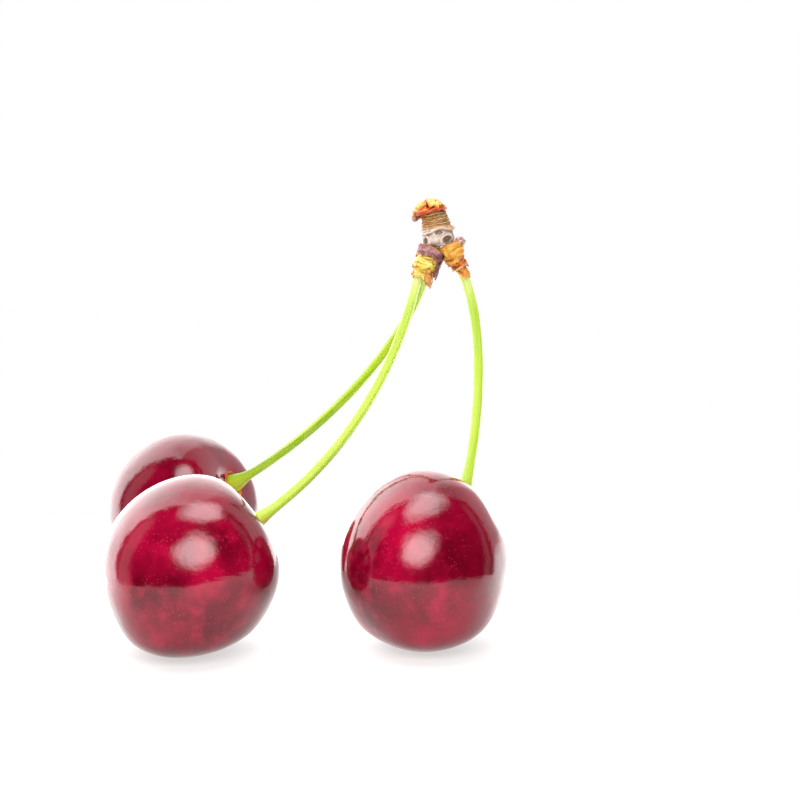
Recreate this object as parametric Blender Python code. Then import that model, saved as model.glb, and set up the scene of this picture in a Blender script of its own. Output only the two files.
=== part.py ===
"""Three ripe sweet cherries on their stalks, joined by one woody fruiting spur.

The bunch stands on its three fruits, with the spur above them. The front faces
-Y, +X is to the right and +Z is up. The origin is the middle of the underside of
the whole bunch's box. Lengths are metres, and the driving sizes come first.
"""

import math

import bmesh
import bpy
from mathutils import Matrix, Vector
from mathutils.geometry import interpolate_bezier

MM = 0.001
UP = Vector((0, 0, 1))
SHARP_FOLD = 50.0           # degrees past which a fold is shaded as an edge

# --- Clearances ---------------------------------------------------------------
JOIN_GAP = 0.30 * MM        # stalk to spur wood, and tip cap to spur wood
SEAT_GAP = 0.42 * MM        # stalk to the middle of the cavity floor, which rises round it
BUNDLE_SLACK = 0.10 * MM    # room for round stalks in the corners of the left bud
SCALE_GAP = 0.25 * MM       # between the layers of a bud's papery scales

# --- Where the fruits stand and how high the spur is ----------------------------
FRONT_SPAN = 32.2 * MM      # between the centres of the two front fruits, along X
BACK_DEPTH = 38.3 * MM      # from the front left fruit back to the rear one, along Y
BACK_OFFSET = -6.6 * MM     # from the front left fruit across to the rear one, along X
RIGHT_DEPTH = 3.0 * MM      # from the front left fruit back to the front right one
SPUR_HEIGHT = 56.4 * MM     # table to the fork of the spur
SPUR_ACROSS = 34.4 * MM     # from the front left fruit across to the fork
SPUR_BACK = 19.4 * MM       # from the front left fruit back to the fork

# --- Fruits ---------------------------------------------------------------------
# Each fruit: its width across the stem axis and length along it, where it stands, the
# lean of its stem axis, and the way, the amount and the narrowness with which its cheeks
# swell out or, below zero, lie flat.
FRUITS = {
    "cherry_front_left": {
        "width": 24.0 * MM,
        "length": 24.1 * MM,
        "place": (0.0, 0.0),
        "stem_axis": (0.80, 0.36, 0.48),
        "cheeks": (((-0.50, -0.20, -0.84), 0.9 * MM, 2),),
        "colour": (158, 2, 35),
    },
    "cherry_front_right": {
        "width": 23.1 * MM,
        "length": 25.3 * MM,
        "place": (FRONT_SPAN, RIGHT_DEPTH),
        "stem_axis": (0.51, 0.43, 0.75),
        "cheeks": (((0.45, -0.20, -0.87), 0.9 * MM, 2), ((0.85, 0.0, 0.53), -1.4 * MM, 16)),
        "colour": (150, 2, 38),
    },
    "cherry_back_left": {
        "width": 24.9 * MM,
        "length": 24.2 * MM,
        "place": (BACK_OFFSET, BACK_DEPTH),
        "stem_axis": (0.82, -0.38, 0.46),
        "cheeks": (((-0.30, 0.60, -0.74), 0.6 * MM, 2),),
        "colour": (140, 3, 30),
    },
}
CAVITY_DEPTH = 3.1 * MM     # dip in which the stalk sits, below the shoulders
CAVITY_SPREAD = 5.0 * MM    # from the dip's middle to where it has mostly closed
SHOULDER_SWELL = 0.022      # share of the radius by which the shoulders stand out
SHOULDER_ANGLE = 50.0       # degrees from the stem axis to the shoulders
SHOULDER_WIDTH = 24.0       # degrees over which the shoulders fade
TIP_SWELL = 0.03            # share of the radius by which the blossom end is full
TIP_ANGLE = 140.0           # degrees from the stem axis to its fullest place
TIP_WIDTH = 34.0            # degrees over which that fullness fades
TIP_DIP = 0.4 * MM          # dimple at the blossom end
TIP_DIP_WIDTH = 17.0        # degrees over which the dimple fades
SUTURE_DEPTH = 0.18 * MM    # crease that runs down one side
SUTURE_WIDTH = 20.0         # degrees round the fruit from the crease to its edge
BELLY_SWELL = 0.65 * MM     # fullness low down, all round the place that the fruit rests on
BELLY_ANGLE = 40.0          # degrees from straight down to the fullest place
BELLY_WIDTH = 18.0          # degrees over which it fades
CONTACT_RADIUS = 1.6 * MM   # flat patch that the fruit rests on
FRUIT_TURNS = 36
FRUIT_RINGS = 24
FRUIT_ROUGHNESS = 0.12

# --- Stalks ---------------------------------------------------------------------
STALK_RADIUS = 0.69 * MM
FOOT_RADIUS = 1.60 * MM     # flared receptacle at the fruit
FOOT_FLARE = 2.2 * MM       # length over which the flare dies away
FOOT_PLUG = 1.0 * MM        # rounded underside of the receptacle
FOOT_END_SHARE = 0.3        # share of the receptacle's radius at its very end
FOOT_POINTS = (0.08, 0.35, 1.0, 1.8)    # places along it, in lengths of that underside
FOOT_CLEAR = 2.34 * MM      # from the stalk's end to the first point of its bow
MOUTH_RADIUS = 0.72 * MM    # where the stalk leaves its bud
STALK_STEPS = 22
STALK_SIDES = 3             # curve bevel resolution: 3 gives ten sides
STALK_COLOUR = (200, 226, 70)
STALK_ROUGHNESS = 0.42

# --- Spur wood: places are from the fork ------------------------------------------
COLUMN_LEAN = (-0.18, 0.0, 0.98)
COLUMN_LENGTH = 4.7 * MM
COLUMN_FOOT_RADIUS = 2.15 * MM
COLUMN_TOP_RADIUS = 1.75 * MM
BARK_LENGTH = 2.0 * MM      # smooth bark below the rings
BARK_RADIUS = 2.40 * MM
BARK_NECK_RADIUS = 2.30 * MM    # a little way below the rings
BARK_NECK_HEIGHT = 1.2 * MM
BARK_EDGE_HEIGHT = 0.2 * MM     # where the bark turns under, above the fork
UNDERSIDE_RADIUS = 1.8 * MM     # nearly flat underside, between the two buds
UNDERSIDE_DROP = 0.38 * MM      # its edge below the fork
UNDERSIDE_CROWN = 0.05 * MM     # its middle below its edge
TIP_RADIUS = 1.4 * MM
RING_COUNT = 5
RING_RELIEF = 0.14 * MM
RING_CREST = 0.30           # places of a ring's crest and groove, as shares of its height
RING_GROOVE = 0.85
BASE_ROOT = 1.44 * MM       # how far a bud's woody base starts inside the column
BASE_TAPER = 1.2            # its radius there, in radii of its end
SPUR_SIDES = 20
BASE_SIDES = 16
WOOD_COLOUR = (176, 132, 92)
WOOD_ROUGHNESS = 0.85

# --- Buds: top and mouth are from the fork, and a hollow is what the scales clear ---
SCALE_THICKNESS = 0.20 * MM
SCALE_ROUGHNESS = 0.6
SCALE_ROUNDING = 0.28       # share of a bud scale's height by which its corners draw up
BUD_SCALE_STEPS = (10, 4)   # across and down
PAIR_DEEP = 0.66 * MM       # half the way from the left bud's front stalk to its back one
PAIR_ACROSS = 0.60 * MM     # half the way across between them
LEFT_BUD = {
    "top": (-1.15 * MM, -0.15 * MM, -0.75 * MM),
    "mouth": (-2.45 * MM, -0.10 * MM, -4.5 * MM),
    "base_radius": 1.00 * MM,
    "base_length": 1.10 * MM,
    "hollow_across": MOUTH_RADIUS + PAIR_ACROSS + BUNDLE_SLACK,
    "hollow_deep": MOUTH_RADIUS + PAIR_DEEP + BUNDLE_SLACK,
    "roundness": 0.72,
}
RIGHT_BUD = {
    "top": (1.80 * MM, -0.10 * MM, -0.75 * MM),
    "mouth": (3.40 * MM, -0.10 * MM, -4.3 * MM),
    "base_radius": 0.72 * MM,
    "base_length": 0.85 * MM,
    "hollow_across": MOUTH_RADIUS,
    "hollow_deep": MOUTH_RADIUS,
    "roundness": 1.0,
}

# Each stalk: its fruit, its bud, its side of the bud's axis (across, back), the way
# it leaves the bud, and how far its bow follows the fruit's axis and the bud's, as
# shares of the straight distance between them.
STALKS = {
    "stalk_front_left": {
        "fruit": "cherry_front_left",
        "bud": LEFT_BUD,
        "offset": (-PAIR_ACROSS, -PAIR_DEEP),
        "leaves": (-0.21, -0.02, -0.98),
        "bows": (0.42, 0.26),
    },
    "stalk_back_left": {
        "fruit": "cherry_back_left",
        "bud": LEFT_BUD,
        "offset": (PAIR_ACROSS, PAIR_DEEP),
        "leaves": (-0.31, 0.04, -0.95),
        "bows": (0.19, 0.34),
    },
    "stalk_front_right": {
        "fruit": "cherry_front_right",
        "bud": RIGHT_BUD,
        "offset": (0.0, 0.0),
        "leaves": (0.43, 0.0, -0.90),
        "bows": (0.10, 0.32),
    },
}

# Each scale of a bud: its bud, its layer (0 is innermost), the angles that it spans
# round the bud's axis (0 faces front, 90 faces right), and its upper and lower edge
# as distances down the bud's axis.
BUD_SCALES = {
    "left_bud_mauve_cap": (LEFT_BUD, 1, (-115, 52), (0.1 * MM, 1.5 * MM), (128, 74, 84)),
    "left_bud_purple_strip": (LEFT_BUD, 1, (62, 118), (1.75 * MM, 4.3 * MM), (96, 40, 62)),
    "left_bud_yellow_upper": (LEFT_BUD, 0, (-120, 45), (1.6 * MM, 3.1 * MM), (238, 196, 62)),
    "left_bud_yellow_lower": (LEFT_BUD, 0, (-110, 5), (3.4 * MM, 4.6 * MM), (240, 176, 40)),
    "left_bud_orange_flap": (LEFT_BUD, 0, (30, 100), (3.4 * MM, 5.3 * MM), (216, 134, 40)),
    "left_bud_back_scale": (LEFT_BUD, 1, (140, 230), (0.3 * MM, 4.0 * MM), (204, 142, 60)),
    "right_bud_ridged_scale": (RIGHT_BUD, 1, (-62, 38), (0.2 * MM, 1.9 * MM), (224, 148, 34)),
    "right_bud_red_scale": (RIGHT_BUD, 0, (-60, 80), (2.1 * MM, 3.2 * MM), (208, 76, 34)),
    "right_bud_pointed_scale": (RIGHT_BUD, 0, (-30, 110), (3.5 * MM, 4.6 * MM), (228, 118, 28)),
    "right_bud_back_scale": (RIGHT_BUD, 1, (62, 240), (0.5 * MM, 3.0 * MM), (196, 128, 52)),
}

# --- Papery cap on the spur's tip: each scale's angles, droop and colour ---------------
CAP_RADIUS = 2.45 * MM
CAP_RISE = 1.5 * MM
CAP_DROOP = 1.4 * MM        # how far the cap hangs over the side that it leans to
CAP_SHIFT = -0.80 * MM      # how far it has slipped to that side
CAP_CENTRE = 0.85 * MM      # hole left where the three scales meet
CAP_FOLD = 0.86             # share of the radius past which the rim turns down
CAP_SCALE_STEPS = (8, 6)
CAP_SCALES = {
    "tip_scale_left": ((208, 316), CAP_DROOP, (219, 117, 37)),
    "tip_scale_right": ((334, 426), 0.0, (236, 160, 60)),
    "tip_scale_back": ((84, 190), 0.1 * MM, (204, 110, 44)),
}

# --- Dormant bud on the right of the fork ---------------------------------------------
SIDE_BUD_RADIUS = 0.58 * MM
SIDE_BUD_LENGTH = 0.72 * MM
SIDE_BUD_RISE = 0.45 * MM   # its middle above the fork
SIDE_BUD_AXIS = (0.97, -0.22, -0.08)
SIDE_BUD_GAP = 0.15 * MM    # past the wood's greatest radius
SIDE_BUD_TURNS = 14
SIDE_BUD_RINGS = 9
SIDE_BUD_COLOUR = (190, 140, 134)
SIDE_BUD_ROUGHNESS = 0.7


def linear(colour):
    """Linear values of a display colour given as three numbers from 0 to 255."""
    shares = (channel / 255 for channel in colour)
    return tuple(c / 12.92 if c <= 0.04045 else ((c + 0.055) / 1.055) ** 2.4 for c in shares)


def paint(obj, colour, roughness):
    """Give an object a plain material of its own."""
    material = bpy.data.materials.new(obj.name)
    material.use_nodes = True
    shader = material.node_tree.nodes["Principled BSDF"]
    shader.inputs["Base Color"].default_value = (*linear(colour), 1)
    shader.inputs["Roughness"].default_value = roughness
    shader.inputs["Metallic"].default_value = 0
    obj.data.materials.append(material)


def add_object(name, data, colour, roughness):
    """Link a mesh or curve as a named, painted object."""
    obj = bpy.data.objects.new(name, data)
    bpy.context.scene.collection.objects.link(obj)
    paint(obj, colour, roughness)
    return obj


def to_mesh(name, bm):
    """Turn a bmesh into smooth-shaded mesh data with sharp folds kept."""
    mesh = bpy.data.meshes.new(name)
    bm.normal_update()
    bm.to_mesh(mesh)
    bm.free()
    mesh.shade_smooth()
    mesh.set_sharp_from_angle(angle=math.radians(SHARP_FOLD))
    return mesh


def spun(profile, sides):
    """Closed solid turned round Z from (radius, height) points, first and last on Z."""
    bm = bmesh.new()
    rim = [bm.verts.new((radius, 0, height)) for radius, height in profile]
    edges = [bm.edges.new(pair) for pair in zip(rim, rim[1:])]
    bmesh.ops.spin(bm, geom=rim + edges, cent=(0, 0, 0), axis=UP, angle=math.tau, steps=sides)
    bmesh.ops.remove_doubles(bm, verts=bm.verts, dist=0.001 * MM)
    bmesh.ops.recalc_face_normals(bm, faces=bm.faces)
    return bm


def aim(direction):
    """Rotation that turns +Z to a direction."""
    return UP.rotation_difference(Vector(direction)).to_matrix().to_4x4()


def fork():
    """Point where the spur's wood divides into its two buds."""
    return Vector((SPUR_ACROSS, SPUR_BACK, SPUR_HEIGHT))


# --- Fruits ---------------------------------------------------------------------------


def bump(angle, middle, width):
    """Smooth hump of height 1 at an angle, all in degrees."""
    return math.exp(-(((angle - middle) / width) ** 2))


def fruit_radius_share(angle, length):
    """Distance of the skin from the fruit's middle, as a share, at degrees from the stem."""
    radius = length / 2
    swell = SHOULDER_SWELL * bump(angle, SHOULDER_ANGLE, SHOULDER_WIDTH)
    swell += TIP_SWELL * bump(angle, TIP_ANGLE, TIP_WIDTH)
    dip = CAVITY_DEPTH / radius * bump(angle, 0.0, math.degrees(CAVITY_SPREAD / radius))
    dimple = TIP_DIP / radius * bump(angle, 180.0, TIP_DIP_WIDTH)
    return 1 + swell - dip - dimple


def fruit_height(name):
    """Height of a fruit's middle above the table, so that its contact patch is flat."""
    length = FRUITS[name]["length"]
    bottom = -min(vertex.co.z for vertex in fruit_body(name).verts)
    return bottom - CONTACT_RADIUS**2 / length


def fruit_body(name):
    """Whole fruit about the origin, leaning, before its contact patch is cut."""
    fruit = FRUITS[name]
    profile = []
    for ring in range(FRUIT_RINGS + 1):
        angle = math.pi * ring / FRUIT_RINGS
        share = fruit_radius_share(math.degrees(angle), fruit["length"])
        across = share * fruit["width"] / 2 * math.sin(angle)
        profile.append((across, share * fruit["length"] / 2 * math.cos(angle)))
    profile[0] = (0.0, profile[0][1])
    profile[-1] = (0.0, profile[-1][1])
    bm = spun(profile, FRUIT_TURNS)
    for vertex in bm.verts:
        around = math.degrees(math.atan2(vertex.co.y, vertex.co.x))
        crease = SUTURE_DEPTH * bump(around, 0.0, SUTURE_WIDTH)
        flat = Vector((vertex.co.x, vertex.co.y, 0))
        if flat.length > FOOT_RADIUS:
            vertex.co -= flat.normalized() * crease
    bmesh.ops.transform(bm, matrix=aim(fruit["stem_axis"]), verts=bm.verts)
    for vertex in bm.verts:
        outward = vertex.co.normalized()
        for way, amount, narrowness in fruit["cheeks"]:
            nearness = max(0.0, outward.dot(Vector(way).normalized()))
            vertex.co += outward * amount * nearness**narrowness
        below = math.degrees(UP.angle(-outward))
        vertex.co += outward * BELLY_SWELL * bump(below, BELLY_ANGLE, BELLY_WIDTH)
    return bm


def fruit_centre(name):
    """Middle of a fruit where it stands."""
    across, back = FRUITS[name]["place"]
    return Vector((across, back, fruit_height(name)))


def cavity_floor(name):
    """Lowest point of a fruit's stem cavity, and the way out of it."""
    axis = Vector(FRUITS[name]["stem_axis"]).normalized()
    length = FRUITS[name]["length"]
    return fruit_centre(name) + axis * fruit_radius_share(0, length) * length / 2, axis


def make_fruit(name):
    """Cherry with its stem cavity, suture and a flat patch where it rests."""
    bm = fruit_body(name)
    bmesh.ops.translate(bm, vec=fruit_centre(name), verts=bm.verts)
    geometry = bm.verts[:] + bm.edges[:] + bm.faces[:]
    cut = bmesh.ops.bisect_plane(
        bm, geom=geometry, plane_co=(0, 0, 0), plane_no=UP, clear_inner=True
    )
    rim = [item for item in cut["geom_cut"] if isinstance(item, bmesh.types.BMEdge)]
    bmesh.ops.contextual_create(bm, geom=rim)
    bmesh.ops.recalc_face_normals(bm, faces=bm.faces)
    add_object(name, to_mesh(name, bm), FRUITS[name]["colour"], FRUIT_ROUGHNESS)


# --- Stalks -----------------------------------------------------------------------------


def stalk_radius(travelled, whole):
    """Radius of a stalk at a distance from the end that sits in the fruit."""
    if travelled < FOOT_PLUG:
        return FOOT_RADIUS * (FOOT_END_SHARE + (1 - FOOT_END_SHARE) * math.sqrt(travelled / FOOT_PLUG))
    flare = math.exp(-(((travelled - FOOT_PLUG) / FOOT_FLARE) ** 2))
    taper = STALK_RADIUS + (MOUTH_RADIUS - STALK_RADIUS) * travelled / whole
    return taper + (FOOT_RADIUS - taper) * flare


def bud_frame(bud):
    """Top and mouth of a bud, and its ways down, right and back."""
    top = fork() + Vector(bud["top"])
    mouth = fork() + Vector(bud["mouth"])
    down = (mouth - top).normalized()
    right = (Vector((1, 0, 0)) - down * down.x).normalized()
    return top, mouth, down, right, right.cross(down)


def stalk_route(spec):
    """Points along a stalk's middle, from the cavity floor to its socket in the bud."""
    floor, axis = cavity_floor(spec["fruit"])
    start = floor + axis * SEAT_GAP
    top, mouth, down, right, back = bud_frame(spec["bud"])
    aside = right * spec["offset"][0] + back * spec["offset"][1]
    leaves = Vector(spec["leaves"]).normalized()
    end = mouth + aside
    chord = (end - start).length
    near_fruit, near_bud = spec["bows"]
    route = interpolate_bezier(
        start, start + axis * chord * near_fruit, end + leaves * chord * near_bud, end, STALK_STEPS
    )
    foot = [start + axis * FOOT_PLUG * share for share in FOOT_POINTS]
    route = [point for point in route if (point - start).length > FOOT_CLEAR]
    socket = top + down * (spec["bud"]["base_length"] + JOIN_GAP) + aside
    inside = [end.lerp(socket, share) for share in (0.5, 1.0)]
    return [start] + foot + route + inside


def make_stalk(name):
    """Round green stalk, flared where it sits in the fruit."""
    route = stalk_route(STALKS[name])
    steps = [(b - a).length for a, b in zip(route, route[1:])]
    curve = bpy.data.curves.new(name, "CURVE")
    curve.dimensions = "3D"
    curve.bevel_depth = STALK_RADIUS
    curve.bevel_resolution = STALK_SIDES
    curve.use_fill_caps = True
    spline = curve.splines.new("POLY")
    spline.points.add(len(route) - 1)
    travelled = 0.0
    for index, point in enumerate(route):
        spline.points[index].co = (*point, 1)
        spline.points[index].radius = stalk_radius(travelled, sum(steps)) / STALK_RADIUS
        travelled += steps[index] if index < len(steps) else 0
    spline.use_smooth = True
    add_object(name, curve, STALK_COLOUR, STALK_ROUGHNESS)


# --- Spur wood ----------------------------------------------------------------------------


def column_profile():
    """Half outline of the spur: smooth bark below, rings of old scale scars above."""
    profile = [(0.0, -UNDERSIDE_DROP - UNDERSIDE_CROWN), (UNDERSIDE_RADIUS, -UNDERSIDE_DROP)]
    profile += [(BARK_RADIUS, BARK_EDGE_HEIGHT), (BARK_NECK_RADIUS, BARK_NECK_HEIGHT)]
    ring_step = (COLUMN_LENGTH - BARK_LENGTH) / RING_COUNT
    for ring in range(RING_COUNT):
        share = ring / (RING_COUNT - 1)
        radius = COLUMN_FOOT_RADIUS + (COLUMN_TOP_RADIUS - COLUMN_FOOT_RADIUS) * share
        height = BARK_LENGTH + ring * ring_step
        profile += [(radius + RING_RELIEF, height + RING_CREST * ring_step)]
        profile += [(radius - RING_RELIEF, height + RING_GROOVE * ring_step)]
    profile += [(TIP_RADIUS, COLUMN_LENGTH), (0.0, COLUMN_LENGTH)]
    return profile


def bud_base(name, bud):
    """Short woody cone inside a bud, on which its stalks stand."""
    top, _mouth, down, _right, _back = bud_frame(bud)
    root = top - down * BASE_ROOT
    length = BASE_ROOT + bud["base_length"]
    bm = bmesh.new()
    bmesh.ops.create_cone(
        bm, cap_ends=True, segments=BASE_SIDES, depth=length,
        radius1=bud["base_radius"] * BASE_TAPER, radius2=bud["base_radius"],
    )
    bmesh.ops.transform(bm, matrix=aim(down), verts=bm.verts)
    bmesh.ops.translate(bm, vec=root + down * length / 2, verts=bm.verts)
    base = bpy.data.objects.new(name, to_mesh(name, bm))
    bpy.context.scene.collection.objects.link(base)
    base.hide_render = True
    base.display_type = "WIRE"
    return base


def make_spur_wood():
    """One woody body: the leaning column and a short base for each bud."""
    bm = spun(column_profile(), SPUR_SIDES)
    bmesh.ops.transform(bm, matrix=aim(COLUMN_LEAN), verts=bm.verts)
    bmesh.ops.translate(bm, vec=fork(), verts=bm.verts)
    wood = add_object("spur_wood", to_mesh("spur_wood", bm), WOOD_COLOUR, WOOD_ROUGHNESS)
    for side, bud in (("left", LEFT_BUD), ("right", RIGHT_BUD)):
        join = wood.modifiers.new(f"{side}_bud_base", "BOOLEAN")
        join.operation = "UNION"
        join.solver = "EXACT"
        join.object = bud_base(f"{side}_bud_base", bud)


# --- Papery scales ----------------------------------------------------------------------------


def make_scale(name, surface, colour, steps):
    """Thin curved plate: surface(u, v) gives its outer face for shares across and down."""
    bm = bmesh.new()
    bmesh.ops.create_grid(bm, x_segments=steps[0], y_segments=steps[1], size=0.5)
    for vertex in bm.verts:
        vertex.co = surface(vertex.co.x + 0.5, 0.5 - vertex.co.y)
    scale = add_object(name, to_mesh(name, bm), colour, SCALE_ROUGHNESS)
    wall = scale.modifiers.new("wall", "SOLIDIFY")
    wall.thickness = SCALE_THICKNESS
    wall.offset = -1
    wall.use_even_offset = False


def bud_surface(bud, layer, angles, edges):
    """Outer face of one scale wrapped round a bud, with a rounded lower edge."""
    top, _mouth, down, right, back = bud_frame(bud)
    pitch = SCALE_THICKNESS + SCALE_GAP
    outward = SCALE_GAP + SCALE_THICKNESS + layer * pitch

    def surface(across, downwards):
        turn = math.radians(angles[0] + (angles[1] - angles[0]) * across)
        rounding = 1 - SCALE_ROUNDING * (2 * across - 1) ** 2
        depth = edges[0] + (edges[1] - edges[0]) * downwards * rounding
        sine = math.copysign(abs(math.sin(turn)) ** bud["roundness"], math.sin(turn))
        cosine = math.copysign(abs(math.cos(turn)) ** bud["roundness"], math.cos(turn))
        aside = right * sine * (bud["hollow_across"] + outward)
        ahead = back * -cosine * (bud["hollow_deep"] + outward)
        return top + down * depth + aside + ahead

    return surface


def cap_surface(angles, droop):
    """Outer face of one scale of the tip's cap, domed over the end of the column."""
    lean = aim(COLUMN_LEAN)
    clear = COLUMN_LENGTH + JOIN_GAP + SCALE_THICKNESS

    def surface(across, downwards):
        turn = math.radians(angles[0] + (angles[1] - angles[0]) * across)
        radius = CAP_CENTRE + (CAP_RADIUS - CAP_CENTRE) * downwards
        height = clear + CAP_RISE * (1 - downwards**2)
        height -= droop * max(0.0, radius / CAP_RADIUS - CAP_FOLD) / (1 - CAP_FOLD)
        across_lean = radius * math.sin(turn) + CAP_SHIFT
        local = Vector((across_lean, -radius * math.cos(turn), height))
        return fork() + lean @ local

    return surface


def make_bud_scales():
    """Every scale of both buds."""
    for name, (bud, layer, angles, edges, colour) in BUD_SCALES.items():
        make_scale(name, bud_surface(bud, layer, angles, edges), colour, BUD_SCALE_STEPS)


def make_tip_cap():
    """Three dry scales that close the spur's tip."""
    for name, (angles, droop, colour) in CAP_SCALES.items():
        make_scale(name, cap_surface(angles, droop), colour, CAP_SCALE_STEPS)


def make_side_bud():
    """Small dormant bud beside the fork."""
    bm = bmesh.new()
    bmesh.ops.create_uvsphere(
        bm, u_segments=SIDE_BUD_TURNS, v_segments=SIDE_BUD_RINGS, radius=SIDE_BUD_RADIUS
    )
    stretch = Matrix.Diagonal((1, 1, SIDE_BUD_LENGTH / SIDE_BUD_RADIUS, 1))
    bmesh.ops.transform(bm, matrix=aim(SIDE_BUD_AXIS) @ stretch, verts=bm.verts)
    wood_radius = max(BARK_RADIUS, COLUMN_FOOT_RADIUS + RING_RELIEF)
    away = Vector(SIDE_BUD_AXIS).normalized() * (wood_radius + SIDE_BUD_LENGTH + SIDE_BUD_GAP)
    bmesh.ops.translate(bm, vec=fork() + away + UP * SIDE_BUD_RISE, verts=bm.verts)
    add_object("side_bud", to_mesh("side_bud", bm), SIDE_BUD_COLOUR, SIDE_BUD_ROUGHNESS)


# --- Whole bunch --------------------------------------------------------------------------------


def stand_on_origin():
    """Shift every piece so that the box's underside is centred on the origin."""
    bpy.context.view_layer.update()
    graph = bpy.context.evaluated_depsgraph_get()
    corners = []
    for obj in bpy.context.scene.objects:
        if not obj.hide_render:
            mesh = obj.evaluated_get(graph).to_mesh()
            corners += [obj.matrix_world @ vertex.co for vertex in mesh.vertices]
    low, high = (Vector([pick(p[axis] for p in corners) for axis in range(3)]) for pick in (min, max))
    middle = (low + high) / 2
    for obj in bpy.context.scene.objects:
        obj.location = (-middle.x, -middle.y, 0)


def main():
    for obj in list(bpy.data.objects):
        bpy.data.objects.remove(obj, do_unlink=True)
    for name in FRUITS:
        make_fruit(name)
    for name in STALKS:
        make_stalk(name)
    make_spur_wood()
    make_bud_scales()
    make_tip_cap()
    make_side_bud()
    stand_on_origin()


main()
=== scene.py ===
import math
import bpy
from mathutils import Matrix, Vector, noise
from mathutils.geometry import interpolate_bezier
from mathutils.kdtree import KDTree


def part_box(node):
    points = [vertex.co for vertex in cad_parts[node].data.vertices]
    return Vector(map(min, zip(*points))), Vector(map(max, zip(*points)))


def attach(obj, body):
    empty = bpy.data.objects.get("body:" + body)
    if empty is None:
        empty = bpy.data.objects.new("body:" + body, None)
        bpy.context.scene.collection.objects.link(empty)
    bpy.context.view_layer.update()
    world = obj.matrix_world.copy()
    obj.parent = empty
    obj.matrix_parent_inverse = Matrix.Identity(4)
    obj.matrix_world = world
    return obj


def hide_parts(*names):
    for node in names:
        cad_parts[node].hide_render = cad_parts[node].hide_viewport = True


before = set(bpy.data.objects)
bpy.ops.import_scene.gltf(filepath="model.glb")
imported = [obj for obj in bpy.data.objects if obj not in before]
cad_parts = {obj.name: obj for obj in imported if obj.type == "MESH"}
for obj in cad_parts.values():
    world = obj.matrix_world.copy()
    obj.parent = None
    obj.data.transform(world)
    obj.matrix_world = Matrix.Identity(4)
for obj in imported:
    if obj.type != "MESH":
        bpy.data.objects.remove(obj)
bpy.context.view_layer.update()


# --- The three fruits -----------------------------------------------------------------
# Sweet cherries, each grown as one body: a thin waxy skin drawn tight over the flesh,
# with a deep cavity for the stalk and a shallow seam. They stand on the table.

MM = 0.001
MERGE = 0.001 * MM          # points closer than this are one
# Each fruit's foot of the stalk and the middle of its sunlit cheek, in mm.
FRUITS = {
    "cherry_front_left": ((-4.98, -16.05, 17.29), (-13.0, -31.0, 11.5)),
    "cherry_front_right": ((24.79, -12.15, 20.51), (14.5, -26.0, 11.0)),
    "cherry_back_left": ((-11.46, 15.34, 17.12), (-18.5, 1.0, 12.5)),
}
SKIN_WAVE = 0.22 * MM
SKIN_WAVE_LENGTH = 8 * MM
STALK_SOCKET = 1.2 * MM     # the skin is reddest to this distance from the stalk's foot
CAVITY_REACH = 4.2 * MM     # and has its own colour again from this one
CHEEK_REACH = 16 * MM       # painted shade: the skin is darkest from this far from its sunlit cheek
CHEEK_CORE = 0.35           # share of that up to which it keeps its own colour
MOTTLE = 8 * MM
BLUSH = 2.6 * MM
SPECK_PITCH = 0.50 * MM
SPECK_PATCH = 3.4 * MM
GLOSS_PATCH = 3 * MM
PEEL = 1.3 * MM
PEEL_DEPTH = 0.035 * MM


def display(red, green, blue):
    """Linear colour from display values of 0 to 255."""
    shares = (channel / 255 for channel in (red, green, blue))
    linear = (c / 12.92 if c <= 0.04045 else ((c + 0.055) / 1.055) ** 2.4 for c in shares)
    return (*linear, 1.0)


DARK_SKIN = display(90, 0, 20)
RED_SKIN = display(152, 3, 45)
BLUSH_RED = display(172, 9, 54)
SHADED_SKIN = display(80, 0, 14)
CAVITY_RED = display(160, 14, 12)
SPECK_PINK = display(176, 66, 84)


class Wire:
    """A socket of a node tree, so that sums of sockets can be written as sums."""

    def __init__(self, sheet, socket):
        self.sheet = sheet
        self.socket = socket

    def math(self, operation, *others):
        values = dict(enumerate((self, *others)))
        return self.sheet.node("ShaderNodeMath", {"operation": operation}, values)

    def __add__(self, other):
        return self.math("ADD", other)

    def __mul__(self, other):
        return self.math("MULTIPLY", other)

    def __sub__(self, other):
        return self.math("SUBTRACT", other)

    def __rsub__(self, other):
        return (self * -1.0).math("ADD", other)

    __radd__ = __add__
    __rmul__ = __mul__


class Sheet:
    """A material's or a world's nodes."""

    def __init__(self, tree):
        self.tree = tree

    def node(self, kind, settings=None, inputs=None, output=0):
        made = self.tree.nodes.new(kind)
        for name, value in (settings or {}).items():
            setattr(made, name, value)
        for name, value in (inputs or {}).items():
            if isinstance(value, Wire):
                self.tree.links.new(value.socket, made.inputs[name])
            else:
                made.inputs[name].default_value = value
        return Wire(self, made.outputs[output])

    def place(self):
        """Place on the piece, in metres."""
        return self.node("ShaderNodeTexCoord", output="Object")

    def vector(self, operation, first, second, output=0):
        return self.node("ShaderNodeVectorMath", {"operation": operation}, {0: first, 1: second}, output)

    def grain(self, where, size, detail=3.0, roughness=0.5):
        """Soft noise from 0 to 1 with lumps of a size in metres."""
        inputs = {"Vector": where, "Scale": 1 / size, "Detail": detail, "Roughness": roughness}
        return self.node("ShaderNodeTexNoise", {}, inputs)

    def step(self, value, low, high):
        """Smooth 0 to 1 as a value goes from low to high."""
        inputs = {"Value": value, "From Min": low, "From Max": high}
        return self.node("ShaderNodeMapRange", {"interpolation_type": "SMOOTHSTEP"}, inputs)

    def blend(self, share, first, second):
        """Colour that goes from first to second as share goes from 0 to 1."""
        inputs = {0: share, 6: first, 7: second}
        return self.node("ShaderNodeMix", {"data_type": "RGBA"}, inputs, 2)

    def bump(self, height, depth):
        """Normal of a relief of a depth in metres."""
        return self.node("ShaderNodeBump", {}, {"Height": height, "Distance": depth, "Strength": 1.0})


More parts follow.
